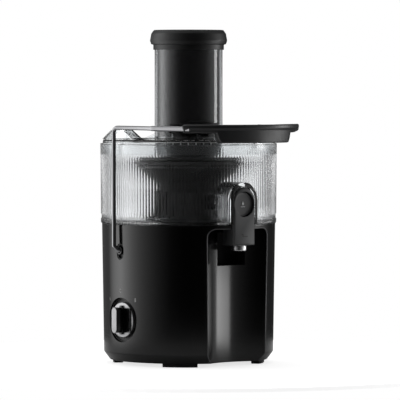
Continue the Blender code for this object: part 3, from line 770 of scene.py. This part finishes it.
def rotary_switch():
    turn = facing((-1, 0, 0))
    at = (0, 0, KNOB_Z)
    bezel = turned(
        "bezel",
        [
            (BEZEL_OUTER, 0.0990, 0.0004),
            (BEZEL_OUTER, 0.0945, 0),
            (0.0036, 0.0945, 0),
            (0.0036, 0.0970, 0),
            (BEZEL_R, 0.0970, 0.0006),
            (BEZEL_R, 0.0990, 0.0003),
        ],
        128,
    )
    piece("switch_well", turned_to(bezel, turn, at), "black_matte", "base", replaces=["knob_bezel"])
    disc = turned(
        "disc",
        [
            (0, 0.1013, 0),
            (KNOB_R - 0.0006, 0.1013, 0.0002),
            (KNOB_R, 0.1007, 0.0002),
            (KNOB_R, 0.0974, 0),
            (0, 0.0974, 0),
        ],
        128,
    )
    turned_to(disc, turn, at)
    piece("switch_disc", disc, "disc_silver", "knob", replaces=["knob_disc"])

    outer = AXIS.x - bar_low.x
    inner = AXIS.x - bar_high.x
    loops = []
    for depth, inset in (
        (inner, 0),
        (inner + 0.004, 0),
        (outer - 0.002, 0.0004),
        (outer - 0.0005, 0.0008),
        (outer, 0.0016),
    ):
        outline = rounded(BAR_HALF_Y - inset, BAR_HALF_Z - inset, 0.004, KNOB_Z)
        loops.append([(-depth, y, z) for y, z in outline])
    piece("switch_grip", loft("grip", loops), "black_gloss", "knob", replaces=["knob_bar"])
    outline = rounded(PLATE_HALF_Y, PLATE_HALF_Z, 0.002, KNOB_Z)
    piece("switch_plate", prism("plate", outline, -0.1012, -0.1026, across="x"), "black_gloss", "knob")
    for side in (-1, 1):
        height = KNOB_Z + side * BAR_HALF_Z
        nub = drum(0.0022, (-0.1012, 0, height), (-0.1040, 0, height), 32)
        name = "upper" if side > 0 else "lower"
        piece(f"switch_nub_{name}", nub, "black_gloss", "knob")

    half = (inlay_high.y - inlay_low.y) / 2
    outline = capsule(half, POINTER_HALF_Z, KNOB_Z)
    face = prism("face", outline, inlay_low.x - AXIS.x, inlay_high.x - AXIS.x, across="x")
    piece("switch_pointer", face, "pointer_silver", "knob", replaces=["knob_inlay"])
    switch_marks()


def switch_marks():
    """Off and two speeds, printed round the switch: a ring and plain strokes."""
    for name, angle, strokes in (("off", 0, 0), ("speed_one", 45, 1), ("speed_two", -45, 2)):
        up = KNOB_Z + MARK_REACH * math.cos(math.radians(angle))
        across = MARK_REACH * math.sin(math.radians(angle))
        r = base_radius(up)
        turn = math.asin(across / r)
        normal = Vector((-math.cos(turn), math.sin(turn), 0))
        centre = normal * (r - 0.0001) + Vector((0, 0, up))
        along = Vector((0, 0, 1)).cross(normal)
        if not strokes:
            path = []
            for i in range(24):
                a = 2 * math.pi * i / 24
                path.append(centre + along * 0.0015 * math.cos(a) + Vector((0, 0, 0.0022 * math.sin(a))))
            mark = tube("mark", path, 0.00035, 8, closed=True)
            piece(f"mark_{name}", mark, "print", "base")
            continue
        for i in range(strokes):
            shift = along * 0.0012 * (i - (strokes - 1) / 2)
            low = centre + shift - Vector((0, 0, MARK_TALL / 2))
            high = centre + shift + Vector((0, 0, MARK_TALL / 2))
            stroke = tube("mark", [low, (low + high) / 2, high], 0.00042, 8)
            piece(f"mark_{name}_{i + 1}", stroke, "print", "base")


# Pulp ring, bowl and basket


# Heights of the rows of points down the container's outer wall, close together where its shape changes
RIB_HEIGHTS = (
    0.2650, 0.2642, 0.2530, 0.2510, 0.2400, 0.2250, 0.2100, 0.1950, 0.1810, 0.1790, 0.1752, 0.1745,
    0.1708, 0.1700, 0.1693,
)


def rib_wave(row, angle, z):
    """Round ribs on the container's outer wall, left out at its smooth bands."""
    ribbed = RING_LOW + 0.0012 < z < 0.1748 or 0.1795 < z < 0.2515
    if not ribbed or row >= len(RIB_HEIGHTS):
        return 0
    return RIB_DEPTH * (math.cos(angle * RIBS) - 1)


def ring_radius(z):
    return RING_R - 0.0007 * (RING_TOP - z) / (RING_TOP - RING_LOW)


def pulp_ring():
    outer = []
    for z in RIB_HEIGHTS:
        step = 0.0
        if z == RING_TOP:
            step = -0.0005
        elif 0.1745 < z < 0.1795:
            step = -0.0008
        elif z < 0.1695:
            step = -0.0006
        outer.append((ring_radius(z) + step, z))
    inner = eased(
        [
            (0.0476, RING_LOW, 0),
            (0.0476, 0.180, 0.0005),
            (0.0496, 0.180, 0.0005),
            (0.0496, 0.1722, 0.001),
            (RING_R - 0.0033, 0.1722, 0.003),
            (RING_R - 0.0022, 0.2530, 0),
            (RING_R - 0.0022, RING_TOP, 0.0003),
        ],
        3,
    )
    ring = revolve("ring", outer + inner, RIBS * 6, rib_wave)
    gap = 0.0002
    opening = prism("opening", arch(NICHE_FRAME + gap, 0.16, NICHE_FRAME_TOP + gap, 24), -0.12, -0.0798)
    ring = boolean(ring, opening)
    piece("ribbed_ring", ring, "clear_ribbed", "base", replaces=["pulp_ring", "pulp_floor"])

    layers = ((0.0802, 0.0004), (0.0806, 0), (0.1052, 0), (0.1060, 0.0003), (0.1064, 0.0012))
    frame_mesh = cut(
        layered("frame", layers, lambda d: arch(NICHE_FRAME - d, FRAME_LOW, NICHE_FRAME_TOP - d, 40)),
        prism("niche", arch(NICHE_HALF, 0.16, NICHE_TOP, 32), -0.12, -0.083),
        drum(0.0093, (0, -0.09, OUTLET_Z), (0, -0.075, OUTLET_Z)),
    )
    piece("niche_frame", frame_mesh, "clear", "base")


def juice_bowl():
    profile = [
        (0.077, 0.2440, 0.0008),
        (0.077, 0.2400, 0.0006),
        (0.0745, 0.2380, 0.0006),
        (0.0742, 0.2362, 0.0004),
        (0.0545, 0.218, 0.006),
        (0.047, 0.205, 0.005),
        (0.047, bowl_low.z, 0),
        (0.0445, bowl_low.z, 0),
        (0.0445, 0.1835, 0),
        (0.0145, 0.1835, 0),
        (0.0145, 0.2005, 0.0004),
        (0.0170, 0.2005, 0.0004),
        (0.0170, 0.186, 0.002),
        (0.0445, 0.186, 0.003),
        (0.0445, 0.206, 0.005),
        (0.052, 0.2195, 0.006),
        (0.0725, 0.2395, 0.001),
        (0.0735, 0.2440, 0.0006),
    ]
    bowl = turned("bowl", profile, 144, 4)
    bowl = boolean(bowl, drum(0.009, (0, -0.0455, OUTLET_Z), (0, -0.0842, OUTLET_Z), 48), "UNION")
    bowl = boolean(bowl, drum(0.0074, (0, -0.040, OUTLET_Z), (0, -0.09, OUTLET_Z), 48))
    piece("dark_bowl", bowl, "smoke", "base", replaces=["juice_bowl", "juice_trough"])
    fins = []
    outline = [(0.0474, 0.1745), (0.0530, 0.1745), (0.0530, 0.2080), (0.0474, 0.2040)]
    for i in range(24):
        angle = 2 * math.pi * (i + 0.5) / 24
        if abs(math.degrees(angle) - 270) < 12:
            continue
        fin = prism("fin", outline, -0.0006, 0.0006)
        fin.transform(Matrix.Rotation(angle, 4, "Z"))
        fins.append(fin)
    piece("bowl_fins", joined("fins", fins), "smoke", "base", smooth=0)


def basket():
    cone = turned(
        "cone",
        [
            (0.0692, 0.2465, 0.0002),
            (0.0388, 0.2065, 0.0004),
            (0.0374, 0.2065, 0),
            (0.0374, 0.2068, 0),
            (0.0678, 0.2468, 0),
        ],
        144,
        3,
    )
    piece("basket_cone", cone, "mesh_steel", "rotor", replaces=["filter_basket"])
    rim = turned(
        "rim",
        [
            (0.0702, 0.2505, 0.0012),
            (0.0702, 0.2472, 0.0006),
            (0.0672, 0.2472, 0.0004),
            (0.0672, 0.2505, 0.0012),
        ],
        144,
        4,
    )
    piece("basket_band", rim, "smoke", "rotor", replaces=["basket_rim"])
    disc = revolve(
        "disc",
        [
            (0.0365, 0.2085), (0.0365, 0.2073), (0.0130, 0.2073), (0.0130, 0.2080), (0.0045, 0.2080),
            (0.0045, 0.2092), (0.0130, 0.2092),
        ],
        96,
    )
    piece("grater_disc", disc, "steel", "rotor", replaces=["grating_disc"])
    teeth = []
    for ring_index, radius in enumerate((0.017, 0.0215, 0.026, 0.0305)):
        count = 14 + 5 * ring_index
        for i in range(count):
            angle = 2 * math.pi * (i + 0.5 * ring_index) / count
            tooth = prism("tooth", [(-0.0008, 0), (0.0008, 0), (0, 0.0014)], -0.0004, 0.0004)
            base = 0.2092 - 0.0007 * radius / 0.0365
            tooth.transform(Matrix.Rotation(angle, 4, "Z") @ Matrix.Translation((radius, 0, base)))
            teeth.append(tooth)
    piece("grater_teeth", joined("teeth", teeth), "steel", "rotor", smooth=0)


# Spout


def spout():
    layers = (
        (COVER_BACK, 0),
        (COVER_FRONT - 0.0022, 0),
        (COVER_FRONT - 0.0013, 0.0003),
        (COVER_FRONT - 0.0004, 0.0010),
        (COVER_FRONT, 0.0022),
    )
    shell = cut(
        layered("cover", layers, lambda d: arch(COVER_HALF - d, cover_low.z + d, cover_high.z - d, 48)),
        prism("inside", arch(0.0142, 0.13, cover_high.z - 0.002, 32), -COVER_FRONT + 0.0022, -0.07),
        drum(0.0151, (0, -0.12, OUTLET_Z), (0, -0.0965, OUTLET_Z), 96),
    )
    piece("spout_shell", shell, "grey_satin", "base", replaces=["spout_cover"])

    turn = facing((0, -1, 0))
    radius = (button_high.x - button_low.x) / 2
    front = AXIS.y - button_low.y
    button = turned(
        "button",
        [
            (0, -0.0006, 0),
            (radius - 0.003, -0.0004, 0.004),
            (radius - 0.0004, 0, 0.0008),
            (radius, -0.003, 0),
            (0, -0.003, 0),
        ],
        96,
    )
    at = (0, -front, OUTLET_Z)
    turned_to(button, turn, at)
    piece("drip_stop_button", button, "grey_satin", "drip_valve", replaces=["drip_button"])
    return_spring()
    spout_marks(-front - 0.0001)
    nozzle()


def return_spring():
    """The button's spring, short enough to stay in its well when the button is pressed."""
    count = 40
    path = []
    for i in range(count + 1):
        angle = 2 * math.pi * i / 16
        along = -0.0972 - 0.0027 * i / count
        path.append((0.0048 * math.cos(angle), along, OUTLET_Z + 0.0048 * math.sin(angle)))
    coil = tube("coil", path, 0.00045, 8)
    piece("return_spring", coil, "steel", "drip_valve", replaces=["valve_spring"])


def spout_marks(mark_y):
    """A drop and a bar on the button, and a small pipe on the cover."""
    drop = [(0, OUTLET_Z + 0.0034)]
    drop += arc(0.0014, 30, -210, 16, (0, OUTLET_Z + 0.0002))
    piece("mark_drop", prism("drop", drop, mark_y, mark_y + 0.0008), "pale_grey", "drip_valve", smooth=0)
    low = OUTLET_Z - 0.0034
    high = OUTLET_Z - 0.0028
    bar = [(-0.003, low), (0.003, low), (0.003, high), (-0.003, high)]
    piece("mark_bar", prism("bar", bar, mark_y, mark_y + 0.0008), "pale_grey", "drip_valve", smooth=0)

    pipe = [
        (-0.0046, 0.1588), (-0.0018, 0.1588), (-0.0018, 0.1562), (0.0046, 0.1562), (0.0046, 0.1551),
        (-0.0032, 0.1551), (-0.0032, 0.1574), (-0.0046, 0.1574),
    ]
    flow = prism("flow", pipe, -COVER_FRONT - 0.00005, -COVER_FRONT + 0.0006)
    piece("mark_flow", flow, "print_dark", "base", smooth=0)


def nozzle():
    nozzle_y = (nozzle_low.y + nozzle_high.y) / 2 - AXIS.y
    spout_end = turned(
        "nozzle",
        [
            (0.0093, nozzle_high.z, 0.0003),
            (0.0095, nozzle_low.z + 0.0008, 0.0006),
            (0.0089, nozzle_low.z, 0.0004),
            (0.0079, nozzle_low.z, 0.0004),
            (0.0077, nozzle_high.z, 0),
        ],
        96,
        4,
    )
    spout_end.transform(Matrix.Translation((0, nozzle_y, 0)))
    piece("juice_nozzle", spout_end, "bright_steel", "base", replaces=["spout_nozzle"])


# Lid, pusher and bail


def lid():
    profile = [
        (CHUTE_R + 0.0002, LID_TOP + 0.003, 0),
        (CHUTE_R + 0.0008, LID_TOP, 0.0018),
        (LID_R - 0.0001, LID_TOP, 0.0034),
        (LID_R, SKIRT_LOW, 0.0005),
        (LID_R - 0.0020, SKIRT_LOW, 0.0005),
        (LID_R - 0.0022, LID_TOP - 0.0024, 0.0026),
        (CHUTE_R + 0.0002, LID_TOP - 0.0024, 0),
    ]
    piece("clear_lid", turned("lid", profile, 256, 6), "clear", "base", replaces=["lid"])
    profile = [
        (CHUTE_R, CHUTE_TOP, 0.0006),
        (CHUTE_R, CHUTE_LOW, 0.0005),
        (CHUTE_BORE, CHUTE_LOW, 0.0005),
        (CHUTE_BORE, CHUTE_TOP, 0.0006),
    ]
    chute = turned("tube", profile, 192)
    piece("chute_tube", chute, "clear_chute", "base", replaces=["feed_chute"])
    low = LID_TOP + 0.0002
    buttresses(low, BUTTRESS_TOP)
    for i in range(8):
        angle = math.radians(45 * i + 22.5)
        gusset = prism("gusset", [(0.0413, low), (0.0570, low), (0.0413, 0.2775)], -0.0007, 0.0007)
        gusset.transform(Matrix.Rotation(angle, 4, "Z"))
        piece(f"chute_gusset_{i + 1}", gusset, "clear", "base", smooth=0)
    # Seven pale ticks on the lid's rim, only on the side that faces the camera: painted highlights for the
    # row of small glints there.
    for i in range(7):
        angle = CAMERA_AZIMUTH - math.pi / 2 + math.radians(5.0 * (i - 3))
        tick = block((0.1030, -0.0005, 0.2650), (0.1043, 0.0005, 0.2670))
        tick.transform(Matrix.Rotation(angle, 4, "Z"))
        piece(f"lid_highlight_tick_{i + 1}", tick, "frosted_highlight", "base", smooth=0)


def buttresses(low, top):
    """Hollow humps on the lid's two sides, each with a saddle that the wire rests on."""
    hump = eased([(-0.0245, low, 0), (0.0405, low, 0), (0.023, top, 0.002), (-0.004, top, 0.002)])
    under = low - 0.002
    roof = top - 0.0016
    inside = [(-0.0205, under), (0.0370, under), (0.0218, roof), (-0.0028, roof)]
    rest = top - 0.003
    seat = eased([(-0.004, rest, 0), (0.012, rest, 0), (0.012, top, 0.0004), (-0.004, top, 0.0004)])
    for side, word in SIDES:
        outer = prism("outer", hump, side * 0.0880, side * 0.1003, across="x")
        hollow = prism("hollow", inside, side * 0.0896, side * 0.0987, across="x")
        piece(f"buttress_{word}", boolean(outer, hollow), "clear", "base", smooth=25)
        saddle = prism("saddle", seat, side * 0.1005, side * 0.1063, across="x")
        piece(f"saddle_{word}", saddle, "clear", "base", smooth=25)


def pusher():
    low = pusher_low.z
    high = pusher_high.z
    body = turned(
        "pusher",
        [
            (0, low + 0.0025, 0),
            (PUSHER_R - 0.0022, low + 0.0025, 0.001),
            (PUSHER_R - 0.0022, high, 0),
            (0.0376, high, 0.0004),
            (0.0376, 0.3765, 0.0008),
            (PUSHER_R, 0.3745, 0.002),
            (PUSHER_R, low, 0.002),
            (0, low, 0),
        ],
        192,
    )
    piece("feed_pusher", body, "black_pusher", "pusher", replaces=["pusher"])
    cap = turned(
        "cap",
        [
            (0, cap_high.z, 0),
            (0.0420, cap_high.z, 0.0022),
            (0.0452, 0.3975, 0.003),
            (0.0467, 0.3892, 0.0030),
            (0.0453, 0.3848, 0.0010),
            (0.0427, 0.3842, 0.0004),
            (0.0427, 0.3781, 0.0004),
            (0.0414, 0.3781, 0),
            (0.0414, high + 0.0003, 0),
            (0.0304, high + 0.0003, 0),
            (0.0304, 0.379, 0),
            (0, 0.379, 0),
        ],
        192,
        7,
    )
    piece("cap", cap, "charcoal", "pusher", replaces=["pusher_cap"])


def bail():
    for side, word in SIDES:
        corners = [
            (side * 0.0968, 0, PIVOT_Z),
            (side * 0.1065, 0, PIVOT_Z),
            (side * LEG_X, LEG_Y, PIVOT_Z + 0.0055),
            (side * LEG_X, LEG_Y, WIRE_TOP),
            (side * SOCKET.x, SOCKET.y, SOCKET.z),
        ]
        bend = filleted(corners[:4], 0.003)[:-1]
        over = filleted(corners[2:], 0.0065, 12)[1:]
        last = over.pop()
        first = over[-1]
        radii = [WIRE_R] * (len(bend) + len(over))
        for t, radius in ((0.45, WIRE_R), (0.47, 0.0030), (0.49, 0.0031), (0.8, 0.0033), (1.0, 0.0033)):
            over.append(first.lerp(last, t))
            radii.append(radius)
        wire = tube("wire", bend + over, radii, 20)
        piece(f"wire_{word}", wire, "chrome", "bail", replaces=[f"bail_arm_{word}"])
    grip()


def grip():
    """A section swept round an arc, deep in the middle, with a thick upper lip and rounded ends."""
    loops = []
    count = 72
    reach = GRIP_REACH
    for i in range(count + 1):
        share = -1 + 2 * i / count
        angle = math.radians(-90 + reach * share)
        degrees = abs(reach * share)
        depth = min(1, max(0, (SKIRT_REACH - degrees) / 2.6))
        depth = depth * depth * (3 - 2 * depth)
        bottom = BAND_LOW - (BAND_LOW - grip_low.z) * depth
        end = min(1, (1 - abs(share)) * reach / 2.2)
        ease = math.sqrt(max(0.0, 1 - (1 - end) ** 2))
        top = grip_high.z
        middle = (top + BAND_LOW) / 2
        front = 0.112
        section = eased(
            [
                (0.0845, top - 0.0008, 0.0015),
                (0.1140, top, 0.0012),
                (0.1150, top - 0.0012, 0.0009),
                (0.1150, top - 0.0044, 0.0009),
                (0.1138, top - 0.0056, 0.0012),
                (front, top - 0.0066, 0.001),
                (front - 0.0006, bottom + 0.0006, 0.0022),
                (0.1085, bottom, 0.001),
                (0.0880, bottom, 0.001),
                (0.0850, bottom + 0.0006, 0.0015),
            ],
            3,
        )
        loop = []
        for radius, z in section:
            r = GRIP_R + (radius - GRIP_R) * (0.6 + 0.4 * ease)
            height = middle + (z - middle) * (0.5 + 0.5 * ease)
            loop.append((r * math.cos(angle), GRIP_CENTRE + r * math.sin(angle), height))
        loops.append(loop)
    handle = loft("grip", loops)
    piece("bail_handle", handle, "grey_grip", "bail", replaces=["bail_grip"])


# Carried-over nodes


def repaint():
    """The CAD pieces that stay get the procedural material of their slot."""
    slots = {entry["node"]: entry["material_slot"] for entry in frame["record"]["subparts"]}
    for name, obj in frame["nodes"].items():
        if obj.hide_render:
            continue
        obj.data.materials.clear()
        obj.data.materials.append(LOOKS[slots[name]].material)


# Floor, light and camera


def place_round(angle, distance, height):
    """A point at an angle from the camera's side, turning towards its left."""
    turn = CAMERA_AZIMUTH - math.pi / 2 - math.radians(angle)
    return AXIS + Vector((distance * math.cos(turn), distance * math.sin(turn), height))


def softbox(name, angle, distance, height, size, power, aim=0.2):
    data = bpy.data.lights.new(name, "AREA")
    data.shape = "RECTANGLE"
    data.size, data.size_y = size
    data.energy = power
    made = placed(name, data)
    made.location = place_round(angle, distance, height)
    way = AXIS + Vector((0, 0, aim)) - made.location
    made.rotation_euler = way.to_track_quat("-Z", "Y").to_euler()
    made.visible_camera = False
    made.visible_transmission = False


def sky_along(tree, way):
    """How far the direction of a ray to the background points along a way."""
    where = tree.nodes.new("ShaderNodeTexCoord")
    made = tree.nodes.new("ShaderNodeVectorMath")
    made.operation = "DOT_PRODUCT"
    made.inputs[1].default_value = way
    tree.links.new(where.outputs["Generated"], made.inputs[0])
    return made.outputs["Value"]


def studio():
    world = bpy.data.worlds.new("studio")
    bpy.context.scene.world = world
    world.use_nodes = True
    tree = world.node_tree
    back = tree.nodes["Background"]
    path = tree.nodes.new("ShaderNodeLightPath")
    sine = math.sin(CAMERA_AZIMUTH)
    cosine = math.cos(CAMERA_AZIMUTH)
    away = sky_along(tree, (-sine, cosine, 0))
    left = sky_along(tree, (-cosine, -sine, 0))

    wall = ranged(tree, away, BACKDROP_EDGE, BACKDROP_FULL, BACKDROP_REST, 1)
    share = ranged(tree, away, -1, 1, 0, 1, "LINEAR")
    ramp = tree.nodes.new("ShaderNodeValToRGB")
    stops = ramp.color_ramp.elements
    while len(stops) < len(SIDE_LIGHT):
        stops.new(0.5)
    for stop, (angle, strength) in zip(stops, SIDE_LIGHT):
        stop.position = (1 - math.cos(math.radians(angle))) / 2
        stop.color = (strength / SIDE_PEAK, strength / SIDE_PEAK, strength / SIDE_PEAK, 1)
    tree.links.new(share, ramp.inputs["Fac"])
    side = ranged(tree, left, -0.35, 0.35, SIDE_PEAK * RIGHT_SHARE, SIDE_PEAK)
    sides = math_node(tree, "MULTIPLY", ramp.outputs["Color"], side)
    up = sky_along(tree, (0, 0, 1))
    sides = math_node(tree, "MULTIPLY", sides, ranged(tree, up, 0.35, 0.85, 1, 0.2))

    through = math_node(tree, "MULTIPLY", wall, path.outputs["Is Transmission Ray"])
    lit = math_node(tree, "MAXIMUM", through, sides)
    both = math_node(tree, "MAXIMUM", path.outputs["Is Camera Ray"], lit)
    tree.links.new(both, back.inputs["Strength"])
    back.inputs["Color"].default_value = (1, 1, 1, 1)

    softbox("top_box", 180, 0.5, 1.7, (1.4, 1.0), 7)
    softbox("low_right_box", -90, 1.0, 0.0, (0.55, 0.16), 1.1, 0.0)
    softbox("grip_box", -104, 1.0, 0.34, (0.26, 0.3), 1.3, 0.32)

    paper_floor()


def paper_floor():
    """A pale disc that the camera sees about as bright as the background, under the object's shadow."""
    data = revolve("floor", [(0, 0), (FLOOR_R, 0), (FLOOR_R, -0.004), (0, -0.004)], 96)
    floor = placed("floor", data)
    floor.location = AXIS
    paper = bpy.data.materials.new("floor_paper")
    paper.use_nodes = True
    tree = paper.node_tree
    shader = tree.nodes["Principled BSDF"]
    shader.inputs["Base Color"].default_value = (0.9, 0.9, 0.9, 1)
    shader.inputs["Roughness"].default_value = 0.9
    shader.inputs["Specular IOR Level"].default_value = 0.1
    shader.inputs["Emission Color"].default_value = (1, 1, 1, 1)
    ray = tree.nodes.new("ShaderNodeLightPath")
    glow = math_node(tree, "MULTIPLY", ray.outputs["Is Camera Ray"], FLOOR_GLOW)
    tree.links.new(glow, shader.inputs["Emission Strength"])
    data.materials.append(paper)


def camera():
    data = bpy.data.cameras.new("camera")
    data.sensor_width = 36
    data.lens = 36 * CAMERA_FAR / VIEW_WIDTH
    data.clip_end = 20
    made = placed("camera", data)
    side = Vector((math.cos(CAMERA_AZIMUTH), math.sin(CAMERA_AZIMUTH), 0))
    made.location = place_round(0, CAMERA_FAR, CAMERA_HEIGHT) + side * AIM_RIGHT
    target = AXIS + side * AIM_RIGHT + Vector((0, 0, AIM_HEIGHT))
    made.rotation_euler = (target - made.location).to_track_quat("-Z", "Y").to_euler()
    bpy.context.scene.camera = made


bpy.context.scene.view_settings.view_transform = "Standard"
studio()
camera()
motor_housing()
pivots()
feet()
rotary_switch()
pulp_ring()
juice_bowl()
basket()
spout()
lid()
pusher()
bail()
repaint()
